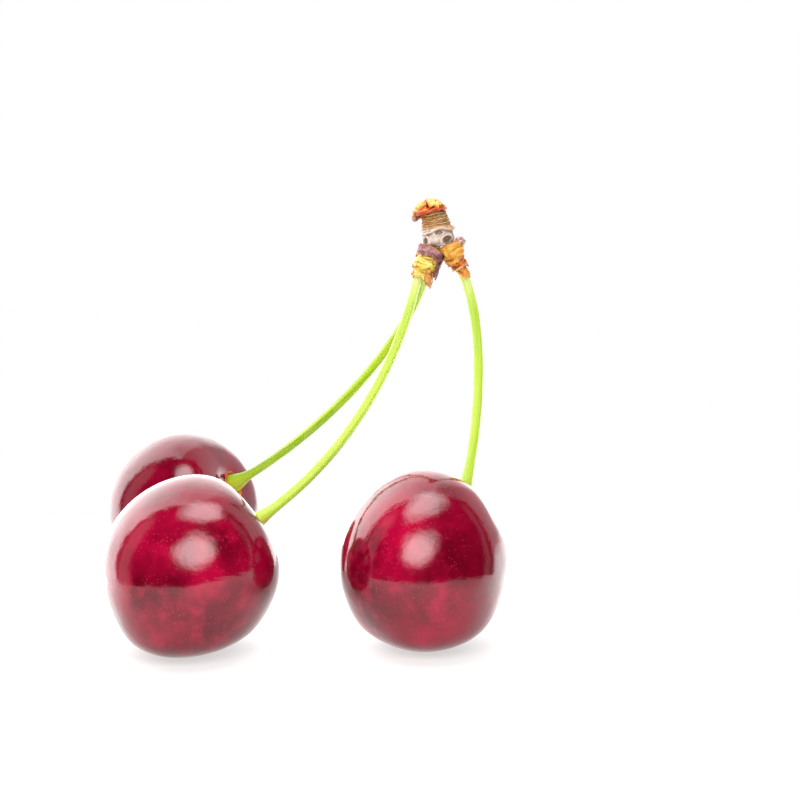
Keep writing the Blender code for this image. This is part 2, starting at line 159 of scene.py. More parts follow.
class Finish(Sheet):
    """A material on one Principled shader: unchanging values are set when it is made."""

    def __init__(self, name, **fixed):
        self.material = bpy.data.materials.new(name)
        self.material.use_nodes = True
        super().__init__(self.material.node_tree)
        self.shader = self.tree.nodes["Principled BSDF"]
        for socket, value in fixed.items():
            self.shader.inputs[socket.replace("_", " ")].default_value = value

    def drive(self, socket, wire):
        self.tree.links.new(wire.socket, self.shader.inputs[socket])


def pick(piece):
    """Select one object alone and make it active."""
    bpy.ops.object.select_all(action="DESELECT")
    piece.select_set(True)
    bpy.context.view_layer.objects.active = piece


def merged_copy(node, name):
    """New piece from a CAD node, with its loose triangles joined into clean quads."""
    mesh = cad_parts[node].data.copy()
    mesh.materials.clear()
    piece = bpy.data.objects.new(name, mesh)
    bpy.context.scene.collection.objects.link(piece)
    pick(piece)
    bpy.ops.mesh.customdata_custom_splitnormals_clear()
    bpy.ops.object.mode_set(mode="EDIT")
    bpy.ops.mesh.select_all(action="SELECT")
    bpy.ops.mesh.remove_doubles(threshold=MERGE)
    bpy.ops.mesh.tris_convert_to_quads()
    bpy.ops.mesh.faces_shade_smooth()
    bpy.ops.object.mode_set(mode="OBJECT")
    return piece


def apply(piece, kind, **settings):
    """Add a modifier and apply it at once."""
    modifier = piece.modifiers.new(kind.lower(), kind)
    for name, value in settings.items():
        setattr(modifier, name, value)
    pick(piece)
    bpy.ops.object.modifier_apply(modifier=modifier.name)


def skin_finish(name, foot, cheek):
    """Glossy red skin: mottled, with painted shade away from its sunlit cheek, redder in the cavity,
    finely specked.
    """
    finish = Finish(name, IOR=1.47)
    where = finish.place()
    mottle = finish.step(finish.grain(where, MOTTLE, 3.0), 0.30, 0.70)
    skin = finish.blend(mottle, DARK_SKIN, RED_SKIN)
    blush = finish.step(finish.grain(where, BLUSH, 4.0, 0.6), 0.46, 0.76)
    skin = finish.blend(blush * 0.50, skin, BLUSH_RED)
    # Painted shade: the skin darkens away from its sunlit cheek.
    from_cheek = finish.vector("DISTANCE", where, [c * MM for c in cheek], "Value")
    shaded = finish.step(from_cheek, CHEEK_CORE * CHEEK_REACH, CHEEK_REACH)
    skin = finish.blend(shaded * 0.65, skin, SHADED_SKIN)
    from_foot = finish.vector("DISTANCE", where, [c * MM for c in foot], "Value")
    near_foot = 1.0 - finish.step(from_foot, STALK_SOCKET, CAVITY_REACH)
    skin = finish.blend(near_foot * 0.6, skin, CAVITY_RED)
    cell_inputs = {"Vector": where, "Scale": 1 / SPECK_PITCH}
    cells = finish.node("ShaderNodeTexVoronoi", {"feature": "F1"}, cell_inputs)
    speck = 1.0 - finish.step(cells, 0.10, 0.28)
    patchy = finish.step(finish.grain(where, SPECK_PATCH, 3.0), 0.38, 0.64)
    skin = finish.blend(speck * patchy * 0.30, skin, SPECK_PINK)
    finish.drive("Base Color", skin)
    finish.drive("Roughness", finish.grain(where, GLOSS_PATCH) * 0.06 + speck * 0.05 + 0.07)
    peel = finish.grain(where, PEEL, 3.0, 0.55)
    finish.drive("Normal", finish.bump(peel + speck * 0.05, PEEL_DEPTH))
    return finish.material


for node, (foot, cheek) in FRUITS.items():
    fruit = merged_copy(node, node.replace("cherry", "fruit"))
    apply(fruit, "SUBSURF", levels=3, render_levels=3)
    waves = bpy.data.textures.new(f"{fruit.name}_waves", "CLOUDS")
    waves.noise_scale = SKIN_WAVE_LENGTH
    apply(fruit, "DISPLACE", texture=waves, strength=SKIN_WAVE, texture_coords="LOCAL")
    fruit.data.materials.append(skin_finish(f"{fruit.name}_skin", foot, cheek))
    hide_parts(node)
    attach(fruit, "root")


# --- Stalks ---------------------------------------------------------------------------
# Green pedicels, one for each fruit, faintly fluted and a little flared where they sit in
# the fruit. They grow out of the buds, bend under the fruit's weight and dry at the foot.

STALK_RADIUS = 0.69         # this and the next two in mm
FOOT_FLARE = 2.3            # how far up the foot's flare reaches
FOOT_PLUG = 1.0             # how deep the foot sits in the fruit
PLUG_END = 0.35             # share of the foot's radius at its very end
KNOBBLE = 0.05              # share by which the radius varies along a stalk
KNOBBLE_LENGTH = 3.0
STALK_STEPS = 150
FLUTE_POINTS = 40
FLUTES = 5
FLUTE_DEPTH = 0.028
OVALNESS = 0.02
STREAK_LENGTH = 4           # lumps of the streaks along a whole stalk
STREAK_FINENESS = 1.8       # and round it
TOP_PALING = (9 * MM, 1 * MM)       # below the bud's end, where the stalk starts to pale and ends
FOOT_DRYING = (0.6 * MM, 3.2 * MM)  # above the foot's end, where the dry foot ends
GREEN_PATCH = 3 * MM
BROWN_FLECK = 0.7 * MM
STALK_GLOSS_PATCH = 1.5 * MM
FRESH_GREEN = display(130, 166, 12)
STREAK_GREEN = display(160, 188, 38)
PALE_GREEN = display(172, 194, 78)
PATCH_GREEN = display(170, 190, 74)
TOP_CREAM = display(210, 218, 138)
FOOT_YELLOW = display(184, 160, 26)
DRY_BROWN = display(176, 100, 22)
# Each stalk's radius at the foot, how pale it is, then its start in its fruit, its two bow
# points, the bud's mouth and its socket, in mm.
STALKS = {
    "stalk_front_left": (
        1.12, 0.45,
        (-4.98, -16.05, 17.29), (10.10, -9.27, 26.34), (16.46, -1.02, 40.68),
        (18.91, -0.79, 52.09), (19.75, -0.82, 54.52),
    ),
    "stalk_back_left": (
        1.50, 0.0,
        (-11.46, 15.34, 17.12), (-3.92, 11.85, 21.35), (14.87, 1.20, 35.86),
        (20.04, 0.54, 51.71), (20.88, 0.50, 54.14),
    ),
    "stalk_front_right": (
        1.05, 0.35,
        (24.79, -12.15, 20.51), (26.51, -10.71, 23.04), (29.99, -0.13, 42.34),
        (25.32, -0.13, 52.10), (24.20, -0.13, 54.60),
    ),
}


def add_attribute(piece, name, values):
    """Store one number for each of a piece's points, for its material to read."""
    attribute = piece.data.attributes.new(name, "FLOAT", "POINT")
    attribute.data.foreach_set("value", values)


def flute_outline():
    """Closed curve of radius 1 mm with shallow flutes, as a stalk's cross-section."""
    bpy.ops.curve.primitive_bezier_circle_add(radius=MM)
    outline = bpy.context.object
    outline.data.splines.clear()
    loop = outline.data.splines.new("POLY")
    loop.points.add(FLUTE_POINTS - 1)
    for index, point in enumerate(loop.points):
        turn = math.tau * index / FLUTE_POINTS
        radius = 1 + FLUTE_DEPTH * math.cos(FLUTES * turn) + OVALNESS * math.cos(2 * turn + 0.7)
        point.co = (radius * MM * math.cos(turn), radius * MM * math.sin(turn), 0, 1)
    loop.use_cyclic_u = True
    return outline


def streaks(stalk, route):
    """Values of long streaks that run with a stalk, one for each of its points."""
    middles = KDTree(len(route))
    for index, point in enumerate(route):
        middles.insert(point, index)
    middles.balance()
    values = []
    for vertex in stalk.data.vertices:
        middle, index, _distance = middles.find(vertex.co)
        along = Vector((0, 0, STREAK_LENGTH * index / STALK_STEPS))
        spot = (vertex.co - middle).normalized() * STREAK_FINENESS + along
        values.append(noise.noise(spot) + 0.5 * noise.noise(2 * spot))
    return values


def stalk_finish(name, low, high, paleness):
    """Streaked green that pales towards the bud and dries to brown at the foot."""
    finish = Finish(name, IOR=1.42)
    where = finish.place()
    height = finish.node("ShaderNodeSeparateXYZ", {}, {0: where}, 2)
    streak = finish.node("ShaderNodeAttribute", {"attribute_name": "streak"}, output="Fac")
    green = finish.blend(finish.step(streak, -0.4, 0.4), FRESH_GREEN, STREAK_GREEN)
    green = finish.blend(paleness, green, PALE_GREEN)
    patches = finish.grain(where, GREEN_PATCH, 3.0)
    green = finish.blend(finish.step(patches, 0.50, 0.72) * 0.4, green, PATCH_GREEN)
    top = finish.step(height, high - TOP_PALING[0], high - TOP_PALING[1])
    green = finish.blend(top * 0.8, green, TOP_CREAM)
    foot = 1.0 - finish.step(height, low + FOOT_DRYING[0], low + FOOT_DRYING[1])
    green = finish.blend(foot * 0.5, green, FOOT_YELLOW)
    brown = finish.step(finish.grain(where, BROWN_FLECK, 4.0), 0.56, 0.66)
    green = finish.blend(brown * foot * 0.7, green, DRY_BROWN)
    finish.drive("Base Color", green)
    finish.drive("Roughness", finish.grain(where, STALK_GLOSS_PATCH) * 0.2 + 0.32)
    return finish.material


outline = flute_outline()
for node, (foot_radius, paleness, *points) in STALKS.items():
    start, low_bow, high_bow, mouth, socket = (Vector(point) * MM for point in points)
    route = interpolate_bezier(start, low_bow, high_bow, mouth, STALK_STEPS) + [socket]
    bpy.ops.curve.primitive_bezier_curve_add()
    stalk = bpy.context.object
    stalk.name = node.replace("stalk", "pedicel")
    stalk.matrix_world = Matrix.Identity(4)
    curve = stalk.data
    curve.splines.clear()
    curve.dimensions = "3D"
    curve.bevel_mode = "OBJECT"
    curve.bevel_object = outline
    curve.use_fill_caps = True
    spline = curve.splines.new("POLY")
    spline.points.add(len(route) - 1)
    travelled = 0.0
    for index, point in enumerate(route):
        travelled += (point - route[max(0, index - 1)]).length / MM
        flare = math.exp(-(max(0.0, travelled - FOOT_PLUG) / FOOT_FLARE) ** 2)
        radius = STALK_RADIUS + (foot_radius - STALK_RADIUS) * flare
        radius *= min(1.0, PLUG_END + (1 - PLUG_END) * math.sqrt(travelled / FOOT_PLUG))
        radius *= 1 + KNOBBLE * noise.noise(Vector((travelled / KNOBBLE_LENGTH, len(node), 0)))
        spline.points[index].co = (*point, 1)
        spline.points[index].radius = radius
    pick(stalk)
    bpy.ops.object.convert(target="MESH")
    stalk = bpy.context.object
    bpy.ops.object.shade_smooth()
    add_attribute(stalk, "streak", streaks(stalk, route))
    low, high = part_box(node)
    stalk.data.materials.clear()
    stalk.data.materials.append(stalk_finish(f"{stalk.name}_green", low.z, high.z, paleness))
    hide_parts(node)
    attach(stalk, "root")
bpy.data.objects.remove(outline)


# --- Spur wood ------------------------------------------------------------------------
# The short old shoot that bore the fruit: grey bark with oval scars of fallen leaves, a
# scalloped ridge, and above it the close tan rings that each year's bud scales left.

FORK = Vector((21.92, -0.03, 56.40)) * MM
LEAN = Vector((-0.18, 0.0, 0.98)).normalized()
WOOD_GRAIN = 0.085 * MM     # size of the remeshed faces
# Heights over the fork and reliefs of the bark, in mm.
RING_HEIGHT = 0.37
RINGS_START = 2.15
RING_SWELL = 0.11
RING_GROOVE = 0.12
GROOVE_WIDTH = 0.18
RING_WAVER = 0.22
LEDGE_HEIGHT = 1.85
LEDGE_SWING = 0.26
LEDGE_SWELL = 0.16
LEDGE_WIDTH = 0.12
LEDGE_SHADE = 0.32          # how far the groove with painted shade is below the ledge
LEDGE_GROOVE = 0.14
CORNER_SWELL = 0.34         # the ledge's knob on the right
BARK_WAVER = 0.09
SCAR_RIM = 0.15
SCAR_DEPTH = 0.20
BROAD_LUMP = 1.3
FINE_LUMP = 0.5
# Each scar's angle round the shoot (0 faces front, 90 right), height, half width and half
# height.
SCARS = (
    (33, 0.30, 0.95, 0.62),
    (-54, 0.62, 0.62, 0.62),
    (4, 1.50, 0.70, 0.40),
    (150, 0.6, 0.8, 0.5),
)
BARK_GREY = (display(138, 115, 100), display(191, 175, 162))
RING_TAN = (display(143, 100, 58), display(184, 146, 100))
LEFT_TAN = display(189, 127, 40)
RIM_PINK = display(206, 182, 170)
SHADE_AND_SCAR_BROWN = display(84, 62, 46)
LICHEN_PALE = display(203, 187, 172)
BARK_PATCH = 0.9 * MM
LICHEN_SPOT = 0.35 * MM
BARK_PORE = 0.22 * MM
PORE_DEPTH = 0.05 * MM
LEFT_TAN_EDGES = (-2.6 * MM, 0.4 * MM)  # from the fork, across, where the left side's tan fades
LEFT_TAN_STRAY = 2 * MM
TAN_EDGES = (1.9 * MM, 2.3 * MM)        # above the fork, where grey bark turns tan
TAN_STRAY = 0.4 * MM


def rise(value, low, high):
    """Smooth 0 to 1 as a value goes from low to high."""
    share = min(1.0, max(0.0, (value - low) / (high - low)))
    return share * share * (3 - 2 * share)


def hump(value, middle, width):
    return math.exp(-(((value - middle) / width) ** 2))


def sculpt(piece, move):
    """Move every point along its normal by move(point), in mm, which also gives two marks."""
    points = [(vertex.co.copy(), vertex.normal.copy()) for vertex in piece.data.vertices]
    results = [move(at) for at, _normal in points]
    coordinates = []
    for (at, normal), (amount, _pale, _dark) in zip(points, results):
        coordinates.extend(at + normal * amount * MM)
    piece.data.vertices.foreach_set("co", coordinates)
    piece.data.update()
    add_attribute(piece, "pale", [result[1] for result in results])
    add_attribute(piece, "dark", [result[2] for result in results])


def wood_relief(at):
    """Height of the bark's relief, in mm, with how pale and how dark it is."""
    from_fork = (at - FORK) / MM
    height = from_fork.dot(LEAN)
    side = from_fork - LEAN * height
    turn = math.degrees(math.atan2(side.x, -side.y))
    waver = noise.noise(from_fork / BROAD_LUMP) + 0.5 * noise.noise(from_fork / FINE_LUMP)
    phase = (height + RING_WAVER * waver) / RING_HEIGHT
    saw = phase - math.floor(phase)
    ringed = rise(height, RINGS_START, RINGS_START + 0.3)
    groove = hump(saw, 0.05, GROOVE_WIDTH) + hump(saw, 1.05, GROOVE_WIDTH)
    amount = ringed * (RING_SWELL * saw - RING_GROOVE * groove)
    # Painted shade in the groove of each ring.
    dark = 0.9 * ringed * groove
    edge = LEDGE_HEIGHT + LEDGE_SWING * math.cos(math.radians(turn * 3.2 - 20)) + 0.16 * waver
    ledge = hump(height, edge, LEDGE_WIDTH)
    corner = hump(turn, 78, 26) * hump(height, LEDGE_HEIGHT - 0.1, 0.3)
    amount += LEDGE_SWELL * ledge + CORNER_SWELL * corner
    amount -= LEDGE_GROOVE * hump(height, edge - LEDGE_SHADE, 0.16)
    pale = ledge
    # Painted shade in the groove under the ledge.
    dark = max(dark, 0.8 * hump(height, edge - LEDGE_SHADE, 0.13))
    amount += BARK_WAVER * waver * (1 - ringed)
    for around, middle, half_width, half_height in SCARS:
        radius = side.length
        away = (turn - around + 180) % 360 - 180
        across = math.radians(away) * radius / half_width
        reach = math.hypot(across, (height - middle) / half_height)
        amount += SCAR_RIM * hump(reach, 1.05, 0.28) - SCAR_DEPTH * rise(1.0 - reach, 0.1, 0.5)
        pale = max(pale, hump(reach, 1.12, 0.22))
        # The sunk scars are darker: partly their own colour, partly painted shade.
        dark = max(dark, 0.95 * rise(1.0 - reach, 0.0, 0.3))
    return amount, pale, dark


def wood_finish():
    """Matt grey bark and tan rings, pale on the rims; painted shade in the ring grooves and under the
    ledge, and darker sunk scars, partly their own colour and partly painted shade.
    """
    finish = Finish("spur_bark", Roughness=0.8, IOR=1.4)
    where = finish.place()
    across, height = (finish.node("ShaderNodeSeparateXYZ", {}, {0: where}, axis) for axis in (0, 2))
    pale = finish.node("ShaderNodeAttribute", {"attribute_name": "pale"}, output="Fac")
    dark = finish.node("ShaderNodeAttribute", {"attribute_name": "dark"}, output="Fac")
    lumps = finish.grain(where, BARK_PATCH, 4.0, 0.6)
    bark = finish.blend(finish.step(lumps, 0.38, 0.62), *BARK_GREY)
    tan = finish.blend(finish.step(lumps, 0.35, 0.65), *RING_TAN)
    strayed = across + (lumps - 0.5) * LEFT_TAN_STRAY
    leftwards = 1.0 - finish.step(strayed, *(FORK.x + edge for edge in LEFT_TAN_EDGES))
    tan = finish.blend(leftwards * 0.7, tan, LEFT_TAN)
    ragged = height + (lumps - 0.5) * TAN_STRAY
    ringed = finish.step(ragged, *(FORK.z + edge for edge in TAN_EDGES))
    wood = finish.blend(ringed, bark, tan)
    wood = finish.blend(pale * 0.85, wood, RIM_PINK)
    # Painted shade in the ring grooves and under the ledge, and the darker sunk scars, partly their own
    # colour and partly painted shade.
    wood = finish.blend(dark * 0.8, wood, SHADE_AND_SCAR_BROWN)
    lichen = finish.step(finish.grain(where, LICHEN_SPOT, 2.0), 0.60, 0.68)
    wood = finish.blend(lichen * 0.4, wood, LICHEN_PALE)
    finish.drive("Base Color", wood)
    finish.drive("Normal", finish.bump(finish.grain(where, BARK_PORE, 4.0, 0.65), PORE_DEPTH))
    return finish.material


wood = merged_copy("spur_wood", "old_shoot")
wood.data.remesh_voxel_size = WOOD_GRAIN
bpy.ops.object.voxel_remesh()
apply(wood, "SMOOTH", factor=0.5, iterations=10)
sculpt(wood, wood_relief)
bpy.ops.object.shade_smooth()
wood.data.materials.append(wood_finish())
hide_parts("spur_wood")
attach(wood, "root")


# --- Bud scales -----------------------------------------------------------------------
# Thin dry leaves of the two opened buds, still wrapped round the feet of the stalks. They
# are crumpled like paper, torn along their edges, and grow from the shoot at their tops.

SCALE_WALL = 0.15 * MM
SCALE_GRID = (64, 30)
TORN = 0.10                 # how far the lower edge is torn, as a share of the length
FRAYED = 0.04               # and the side edges, as a share of the width
TEARS = 7                   # tears along the lower edge
NICKS = 19                  # and the finer ones between them
SIDE_TEARS = 6
RIDGES = (3.4, 1.9)         # crumpled ridges across and down a scale
RIDGE_SLANT = 1.5
PLEATS = (1.6, 4.2)         # and pleats
VEINS_ACROSS = 9.0
VEINS_ALONG = 1.6
VEIN_DEPTH = 0.05 * MM
PAPER_PATCH = 0.9 * MM
SEED_STEP = 3.7             # apart enough that no two scales crumple alike
# Each bud's top and mouth, the half width and half depth of its hollow, in mm, and how
# round it is: 1 is an ellipse and less is squarer.
LEFT_BUD = {
    "top": (20.77, -0.18, 55.65),
    "mouth": (19.47, -0.13, 51.90),
    "hollow": (1.36, 1.42),
    "roundness": 0.72,
}
RIGHT_BUD = {
    "top": (23.72, -0.13, 55.65),
    "mouth": (25.32, -0.13, 52.10),
    "hollow": (0.74, 0.74),
    "roundness": 1.0,
}
# Each scale: its bud, its gap from the stalks, its angles round the bud (0 faces front, 90
# right), its upper and lower edge down the bud, how it crumples and flares, its point (how
# much longer its middle is), and its colours: body, second, veins and painted shade in the
# creases, and rim. Lengths in mm.
SCALES = {
    "left_bud_mauve_cap": (LEFT_BUD, 0.55, (-128, 78), (-0.15, 1.35), 0.16, -0.20, -0.5,
                           (132, 80, 85), (179, 137, 129), (73, 31, 42), (184, 106, 38)),
    "left_bud_purple_strip": (LEFT_BUD, 0.80, (40, 128), (0.5, 4.0), 0.14, 0.05, 0.5,
                              (90, 37, 54), (130, 73, 80), (33, 7, 17), (111, 57, 52)),
    "left_bud_yellow_upper": (LEFT_BUD, 0.25, (-135, 62), (1.2, 3.2), 0.18, 0.12, 0.1,
                              (197, 174, 49), (207, 197, 111), (171, 115, 24), (193, 122, 28)),
    "left_bud_yellow_lower": (LEFT_BUD, 0.12, (-130, 40), (2.9, 4.7), 0.18, 0.10, 0.2,
                              (193, 162, 42), (205, 191, 106), (165, 103, 24), (179, 115, 52)),
    "left_bud_orange_flap": (LEFT_BUD, 0.20, (8, 112), (2.9, 5.4), 0.20, 0.25, 0.7,
                             (186, 118, 54), (205, 162, 96), (146, 75, 30), (179, 101, 30)),
    "left_bud_back_scale": (LEFT_BUD, 0.40, (118, 240), (-0.2, 4.2), 0.18, 0.10, 0.6,
                            (177, 129, 57), (198, 165, 101), (122, 71, 35), (165, 96, 35)),
    "right_bud_ridged_scale": (RIGHT_BUD, 1.15, (-125, 66), (-0.8, 2.3), 0.20, -0.45, 0.2,
                               (198, 132, 31), (212, 169, 73), (143, 77, 21), (179, 90, 24)),
    "right_bud_red_scale": (RIGHT_BUD, 0.40, (-90, 98), (1.2, 3.3), 0.14, 0.05, 0.3,
                            (184, 73, 31), (202, 118, 42), (130, 38, 19), (214, 193, 122)),
    "right_bud_pointed_scale": (RIGHT_BUD, 0.12, (-50, 118), (2.7, 4.9), 0.12, 0.16, 1.3,
                                (198, 106, 26), (209, 150, 61), (153, 68, 19), (209, 171, 84)),
    "right_bud_back_scale": (RIGHT_BUD, 0.40, (70, 262), (-0.1, 3.3), 0.18, 0.10, 0.6,
                             (174, 118, 50), (197, 158, 90), (115, 64, 31), (165, 90, 31)),
}


def paper_finish(name, body, second, vein_and_shade, rim):
    """Dry scale: veined along its length, with painted shade in the valleys of its crumples, scorched
    along its rim.
    """
    finish = Finish(name, IOR=1.42)
    where = finish.place()
    way = finish.node("ShaderNodeTexCoord", output="UV")
    across, along = (finish.node("ShaderNodeSeparateXYZ", {}, {0: way}, axis) for axis in (0, 1))
    stretched = {0: across * VEINS_ACROSS, 1: along * VEINS_ALONG, 2: 0.0}
    veins = finish.grain(finish.node("ShaderNodeCombineXYZ", {}, stretched), 1.0, 4.0, 0.6)
    patches = finish.grain(where, PAPER_PATCH, 4.0, 0.6)
    colour = finish.blend(finish.step(patches, 0.36, 0.64), display(*body), display(*second))
    colour = finish.blend((1.0 - finish.step(veins, 0.30, 0.52)) * 0.45, colour, display(*vein_and_shade))
    # Painted shade in the sunk valleys of the crumples, in the vein colour.
    crease_shade = finish.node("ShaderNodeAttribute", {"attribute_name": "crease_shade"}, output="Fac")
    colour = finish.blend(finish.step(crease_shade, 0.1, 0.9) * 0.85, colour, display(*vein_and_shade))
    to_side = (across - 0.5).math("ABSOLUTE") * 2.0
    to_end = (along - 0.5).math("ABSOLUTE") * 2.0
    edge = to_side.math("MAXIMUM", to_end) + (patches - 0.5) * 0.35
    colour = finish.blend(finish.step(edge, 0.80, 0.97) * 0.85, colour, display(*rim))
    finish.drive("Base Color", colour)
    finish.drive("Roughness", patches * 0.25 + 0.42)
    finish.drive("Normal", finish.bump(veins + patches, VEIN_DEPTH))
    return finish.material


def paper_scale(node, name, surface, crumple, seed, colours, slot):
    """Crumpled sheet laid on a surface, with a torn edge and a thin wall, for a CAD node if any."""
    bpy.ops.mesh.primitive_grid_add(x_subdivisions=SCALE_GRID[0], y_subdivisions=SCALE_GRID[1], size=1)
    piece = bpy.context.object
    piece.name = name
    coordinates = []
    crease_shades = []
    for vertex in piece.data.vertices:
        across, down = vertex.co.x + 0.5, 0.5 - vertex.co.y
        torn = noise.noise(Vector((across * TEARS, seed, 0)))
        torn += 0.5 * noise.noise(Vector((across * NICKS, seed, 5)))
        frayed = noise.noise(Vector((down * SIDE_TEARS, seed, 9)))
        spot = Vector((across * RIDGES[0], down * RIDGES[1], seed))
        ridge = 1 - 2 * abs(noise.noise(spot + Vector((0, RIDGE_SLANT * down, 0))))
        pleat = 1 - 2 * abs(noise.noise(Vector((across * PLEATS[0], down * PLEATS[1], seed + 3))))
        lift = crumple * (0.9 * ridge + 0.9 * pleat - 0.9) + 0.25 * crumple * noise.noise(spot * 3)
        coordinates.extend(surface(across, down, lift, TORN * torn, FRAYED * frayed))
        # How deep in a crumple's valley each point sits, for the painted shade there.
        crease_shades.append(min(1.0, max(0.0, 1.1 - 0.75 * (ridge + pleat))))
    piece.data.vertices.foreach_set("co", coordinates)
    piece.data.update()
    add_attribute(piece, "crease_shade", crease_shades)
    bpy.ops.object.mode_set(mode="EDIT")
    bpy.ops.mesh.select_all(action="SELECT")
    bpy.ops.mesh.faces_shade_smooth()
    bpy.ops.object.mode_set(mode="OBJECT")
    apply(piece, "SOLIDIFY", thickness=SCALE_WALL, offset=-1, use_even_offset=False)
    piece.data.materials.append(paper_finish(f"{name}_paper", *colours))
    if node:
        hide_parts(node)
    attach(piece, "root")


def wrapped(bud, gap, angles, edges, flare, point):
    """Surface of a scale wrapped round a bud, flared towards its lower edge."""
    top, mouth = (Vector(bud[end]) for end in ("top", "mouth"))
    down_bud = (mouth - top).normalized()
    right = (Vector((1, 0, 0)) - down_bud * down_bud.x).normalized()
    back = right.cross(down_bud)

    def surface(across, down, lift, torn, frayed):
        turn = math.radians(angles[0] + (angles[1] - angles[0]) * (across + frayed * (2 * across - 1)))
        middle = 1 - (2 * across - 1) ** 2
        low_edge = edges[1] - point * (1 - middle) + 6 * torn * down
        depth = edges[0] + 0.3 * (1 - middle) + 2 * torn * (1 - down)
        depth += (low_edge - depth) * down
        outward = gap + lift + flare * down**2
        sine = math.copysign(abs(math.sin(turn)) ** bud["roundness"], math.sin(turn))
        cosine = math.copysign(abs(math.cos(turn)) ** bud["roundness"], math.cos(turn))
        ahead = back * -cosine * (bud["hollow"][1] + outward)
        return (top + down_bud * depth + right * sine * (bud["hollow"][0] + outward) + ahead) * MM

    return surface


def scale_slot(node):
    """Material slot of the record that a scale's colour belongs to."""
    if "mauve" in node or "purple" in node:
        return "bud_scale_mauve"
    return "bud_scale_yellow" if "yellow" in node else "bud_scale_orange"


for seed, (node, scale) in enumerate(SCALES.items()):
    bud, gap, angles, edges, crumple, flare, point, *colours = scale
    surface = wrapped(bud, gap, angles, edges, flare, point)
    name = node.replace("bud", "bud_paper")
    paper_scale(node, name, surface, crumple, SEED_STEP * seed, colours, scale_slot(node))


# --- Tip cap --------------------------------------------------------------------------
# Dry scales that close the end of the shoot: crumpled golden lobes over a scorched orange
# fold, slipped to the left and drooping over the rings on that side.

CAP_HEIGHT = 4.75           # over the fork, along the shoot, in mm
CAP_SHIFT = -0.75           # how far the cap has slipped to the left
CAP_FOLD = 0.62             # share of a lobe past which it droops
CAP_SEED = 41.3
CAP_SEED_STEP = 5.1
# Each lobe: its node, if the CAD has one, its angles, its inner and outer radius, how far it
# is raised, its rise, its droop, how it crumples, and its colours as for the bud scales.
LOBES = {
    "tip_lobe_left": ("tip_scale_left", (196, 354), (0.15, 2.30), 0.38, 1.20, 0.62, 0.22,
                      (205, 141, 46), (213, 175, 89), (160, 72, 19), (184, 79, 19)),
    "tip_lobe_right": ("tip_scale_right", (-2, 96), (0.10, 2.15), 0.50, 1.25, 0.10, 0.22,
                       (208, 153, 60), (215, 184, 105), (169, 83, 22), (191, 96, 26)),
    "tip_lobe_back": ("tip_scale_back", (78, 214), (0.20, 2.35), 0.0, 1.55, 0.55, 0.28,
                      (193, 126, 46), (206, 163, 83), (138, 67, 22), (163, 74, 22)),
    "tip_fold_front": (None, (-88, 88), (1.35, 2.52), 0.02, 0.50, 0.40, 0.22,
                       (178, 58, 4), (208, 98, 20), (72, 14, 8), (116, 28, 10)),
    "tip_fold_left": (None, (-170, -58), (1.3, 2.60), -0.10, 0.45, 0.95, 0.26,
                      (151, 89, 41), (186, 127, 60), (64, 19, 14), (103, 52, 26)),
}


def domed(angles, radii, base, lobe_rise, droop):
    """Surface of a lobe over the end of the shoot."""
    across_axis = Vector((LEAN.z, 0, -LEAN.x)).normalized()
    back_axis = LEAN.cross(across_axis)

    def surface(across, down, lift, torn, frayed):
        turn = math.radians(angles[0] + (angles[1] - angles[0]) * (across + frayed * (2 * across - 1)))
        reach = down + 2.0 * torn * down
        radius = radii[0] + (radii[1] - radii[0]) * math.sin(min(reach, 1.0) * math.pi / 2)
        height = CAP_HEIGHT + base + lobe_rise * math.cos(min(reach, 1.1) * math.pi / 2)
        height += lift * (1.2 - down)
        radius += lift * (0.2 + down)
        leftness = max(0.0, -math.sin(turn))
        height -= droop * max(0.0, down - CAP_FOLD) / (1 - CAP_FOLD) * (0.35 + 0.65 * leftness)
        local = across_axis * (radius * math.sin(turn) + CAP_SHIFT * (1 - 0.25 * down))
        local -= back_axis * radius * math.cos(turn)
        return FORK + (LEAN * height + local) * MM

    return surface


for seed, (name, lobe) in enumerate(LOBES.items()):
    node, angles, radii, base, lobe_rise, droop, crumple, *colours = lobe
    surface = domed(angles, radii, base, lobe_rise, droop)
    variety = CAP_SEED + CAP_SEED_STEP * seed
    paper_scale(node, name, surface, crumple, variety, colours, "tip_scale_paper")


# --- Calyx collars --------------------------------------------------------------------
# Ragged dried remains of each flower's cup, left as a scorched orange ring round the foot of
# the stalk where it sits in the fruit.

COLLAR_RISE = 0.70          # above the stalk's foot, in mm
COLLAR_SPREAD = 0.75
COLLAR_FLARE = 0.45         # how far its outer edge stands higher
COLLAR_TUCK = 0.92          # its inner radius as a share of the foot's
COLLAR_CRUMPLE = 0.22
COLLAR_SEED = 90.1
COLLAR_SEED_STEP = 6.3
COLLAR_COLOURS = ((214, 104, 20), (230, 150, 48), (110, 20, 10), (150, 44, 16))


def collar(foot, way, radius):
    """Surface of a ring round a stalk's foot, in mm."""
    side = way.orthogonal().normalized()
    across_way = way.cross(side)

    def surface(across, down, lift, torn, _frayed):
        turn = math.tau * across
        reach = radius + COLLAR_SPREAD * down + 4 * torn * down
        height = COLLAR_RISE + COLLAR_FLARE * down + lift
        return (foot + way * height + (side * math.cos(turn) + across_way * math.sin(turn)) * reach) * MM

    return surface


for seed, (node, (foot_radius, _paleness, start, low_bow, *_rest)) in enumerate(STALKS.items()):
    way = (Vector(low_bow) - Vector(start)).normalized()
    name = node.replace("stalk", "calyx_collar")
    surface = collar(Vector(start), way, COLLAR_TUCK * foot_radius)
    variety = COLLAR_SEED + COLLAR_SEED_STEP * seed
    paper_scale(None, name, surface, COLLAR_CRUMPLE, variety, COLLAR_COLOURS, "bud_scale_orange")


# --- Dormant bud ----------------------------------------------------------------------
# A tiny lumpy bud on the right of the fork that never opened: a pinkish grey knob over a
# browner one, with the tips of its tight scales just showing.

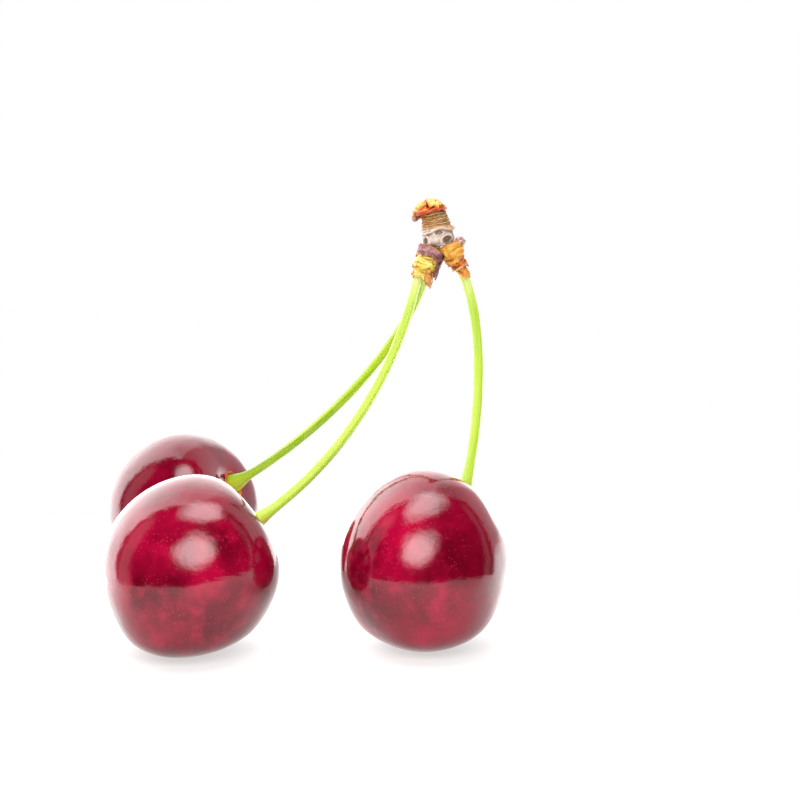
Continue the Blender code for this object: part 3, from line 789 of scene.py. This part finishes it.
# Each knob's shift from the CAD bud, in mm, and its growth.
BUD_KNOBS = (((-0.18, -0.05, 0.05), 1.12), ((-0.42, 0.05, -0.62), 0.86))
BUD_GRAIN = 0.06 * MM       # size of the remeshed faces
LUMP_SIZE = 0.45 * MM
LUMP_DEPTH = 0.5 * MM
BUD_PATCH = 0.5 * MM
BUD_PORE = 0.2 * MM
BROWN_EDGES = (-0.5 * MM, -0.1 * MM)    # from the middle, up, where brown turns pink
KNOB_PINK = (display(144, 105, 103), display(194, 167, 167))
KNOB_BROWN = (display(123, 72, 49), display(182, 138, 97))

low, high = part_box("side_bud")
middle = (low + high) / 2
knobs = []
for shift, growth in BUD_KNOBS:
    knob = merged_copy("side_bud", "dormant_bud")
    knob.data.transform(Matrix.Translation(-middle))
    knob.data.transform(Matrix.Scale(growth, 4))
    knob.data.transform(Matrix.Translation(middle + Vector(shift) * MM))
    knobs.append(knob)
pick(knobs[0])
knobs[1].select_set(True)
bpy.ops.object.join()
dormant = bpy.context.object
dormant.data.remesh_voxel_size = BUD_GRAIN
bpy.ops.object.voxel_remesh()
apply(dormant, "SMOOTH", factor=0.5, iterations=8)
lumps = bpy.data.textures.new("bud_lumps", "CLOUDS")
lumps.noise_scale = LUMP_SIZE
apply(dormant, "DISPLACE", texture=lumps, strength=LUMP_DEPTH, texture_coords="LOCAL")
bpy.ops.object.shade_smooth()
finish = Finish("dormant_bud_skin", Roughness=0.6)
where = finish.place()
patches = finish.grain(where, BUD_PATCH, 4.0)
height = finish.node("ShaderNodeSeparateXYZ", {}, {0: where}, 2)
pink = finish.blend(finish.step(patches, 0.38, 0.62), *KNOB_PINK)
brown = finish.blend(finish.step(patches, 0.40, 0.60), *KNOB_BROWN)
low_down = 1.0 - finish.step(height, *(middle.z + edge for edge in BROWN_EDGES))
finish.drive("Base Color", finish.blend(low_down, pink, brown))
finish.drive("Normal", finish.bump(finish.grain(where, BUD_PORE, 4.0), PORE_DEPTH))
dormant.data.materials.append(finish.material)
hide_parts("side_bud")
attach(dormant, "root")


# --- Studio ---------------------------------------------------------------------------
# A white table that glows more beside and behind the fruit, a white room with a bright
# backdrop, and two soft oval lamps: a window in front and a softbox overhead.

CAMERA_PLACE = (0.01615, -0.2225, 0.0605)
CAMERA_DROP = 7.04
CAMERA_LENS = 67.5
TABLE_FRONT = -0.090
TABLE_BACK = 0.075
TABLE_HALF_WIDTH = 0.075
TABLE_SINK = 0.02 * MM      # the table is this far under the fruit
TABLE_WHITE = (0.42, 0.42, 0.415, 1)
NEAR_GLOW = (0.148, 0.148, 0.146, 1)
FAR_GLOW = (1.0, 1.0, 0.99, 1)
GLOW_STRENGTH = 4.0
GLOW_SIDES = (0.028, 0.056)     # from the middle line, where the table's glow grows
GLOW_BACK = (-0.045, 0.0)       # and from the front to the back
WHITE = (1, 1, 1, 1)
BACKDROP_LEVEL = 5.2
ROOM_LEVEL = 0.04
LAMP_FADE = (0.16, 0.5)         # from a lamp's middle, as shares of its size
# Each lamp's place, the point that it faces, its width and height, and its brightness.
LAMPS = {
    "window": ((0.0070, -0.105, 0.060), (0.003, -0.018, 0.014), (0.112, 0.096), 7.6),
    "overhead": ((0.0093, -0.040, 0.125), (0.003, -0.012, 0.014), (0.124, 0.086), 6.8),
}

bpy.ops.mesh.primitive_plane_add(size=1)
table = bpy.context.object
table.name = "table"
table.data.transform(Matrix.Diagonal((2 * TABLE_HALF_WIDTH, TABLE_BACK - TABLE_FRONT, 1, 1)))
table.data.transform(Matrix.Translation((0, (TABLE_BACK + TABLE_FRONT) / 2, -TABLE_SINK)))
cloth = Finish(
    "table_white", Base_Color=TABLE_WHITE, Roughness=0.9, Specular_IOR_Level=0.0,
    Emission_Strength=GLOW_STRENGTH,
)
sideways, back = (cloth.node("ShaderNodeSeparateXYZ", {}, {0: cloth.place()}, axis) for axis in (0, 1))
outer = cloth.step(sideways.math("ABSOLUTE"), *GLOW_SIDES) * cloth.step(back, *GLOW_BACK)
cloth.drive("Emission Color", cloth.blend(outer, NEAR_GLOW, FAR_GLOW))
table.data.materials.append(cloth.material)

world = bpy.data.worlds.new("studio")
bpy.context.scene.world = world
world.use_nodes = True
world.node_tree.nodes.clear()
sky = Sheet(world.node_tree)
facing = sky.node("ShaderNodeTexCoord", output="Generated")
to_right, to_back, up = (sky.node("ShaderNodeSeparateXYZ", {}, {0: facing}, axis) for axis in range(3))
azimuth = to_right.math("ARCTAN2", to_back * -1.0) * (180 / math.pi)
elevation = up.math("ARCSINE") * (180 / math.pi)
aside = azimuth.math("ABSOLUTE")

# Narrow bright walls on the left and the right, dark above.
left_side = sky.step(azimuth * -1.0, 70, 80) * (1.0 - sky.step(azimuth * -1.0, 92, 97))
right_side = sky.step(azimuth, 80, 88) * (1.0 - sky.step(azimuth, 92, 97))
sides = (left_side * 0.9 + right_side * 0.6) * (1.0 - sky.step(elevation, 45, 60))
# The backdrop is dimmer in its middle, towards the ceiling and at its right end.
middle_dim = sky.step(aside, 125, 165) * 1.6
ceiling_dim = 1.0 - sky.step(elevation, 35, 75) * 0.30
right_end = sky.step(azimuth, 80, 98) * (1.0 - sky.step(azimuth, 140, 165))
right_dim = 1.0 - right_end * sky.step(elevation, -4, 8) * 0.72
backdrop = sky.step(aside, 98, 106) * (BACKDROP_LEVEL - middle_dim) * ceiling_dim * right_dim
glow = backdrop + sides + ROOM_LEVEL
lit = sky.node("ShaderNodeBackground", {}, {"Color": WHITE, "Strength": glow})
plain = sky.node("ShaderNodeBackground", {}, {"Color": WHITE, "Strength": 1.0})
seen = sky.node("ShaderNodeLightPath", output="Is Camera Ray")
mixed = sky.node("ShaderNodeMixShader", {}, {0: seen, 1: lit, 2: plain})
output = world.node_tree.nodes.new("ShaderNodeOutputWorld")
world.node_tree.links.new(mixed.socket, output.inputs["Surface"])


def softbox(name, place, aim, size, level):
    """Oval lamp that fades towards its edge, turned towards a point."""
    lamp = bpy.data.lights.new(name, "AREA")
    lamp.shape = "ELLIPSE"
    lamp.size, lamp.size_y = size
    lamp.energy = level * math.pi * size[0] * size[1]
    lamp.use_nodes = True
    face = Sheet(lamp.node_tree)
    spot = face.node("ShaderNodeNewGeometry", output="Parametric")
    from_middle = face.vector("DISTANCE", spot, (0.5, 0.5, 0), "Value")
    fade = 1.0 - face.step(from_middle, *LAMP_FADE)
    emission = lamp.node_tree.nodes["Emission"]
    lamp.node_tree.links.new(fade.socket, emission.inputs["Strength"])
    box = bpy.data.objects.new(name, lamp)
    box.location = place
    box.rotation_euler = (Vector(aim) - Vector(place)).to_track_quat("-Z", "Y").to_euler()
    box.visible_camera = False
    bpy.context.scene.collection.objects.link(box)


for name, lamp in LAMPS.items():
    softbox(name, *lamp)

lens = bpy.data.cameras.new("camera")
lens.lens = CAMERA_LENS
lens.clip_start = 0.01
camera = bpy.data.objects.new("camera", lens)
camera.location = CAMERA_PLACE
camera.rotation_euler = (math.radians(90 - CAMERA_DROP), 0, 0)
bpy.context.scene.collection.objects.link(camera)
bpy.context.scene.camera = camera
bpy.context.scene.view_settings.view_transform = "Standard"
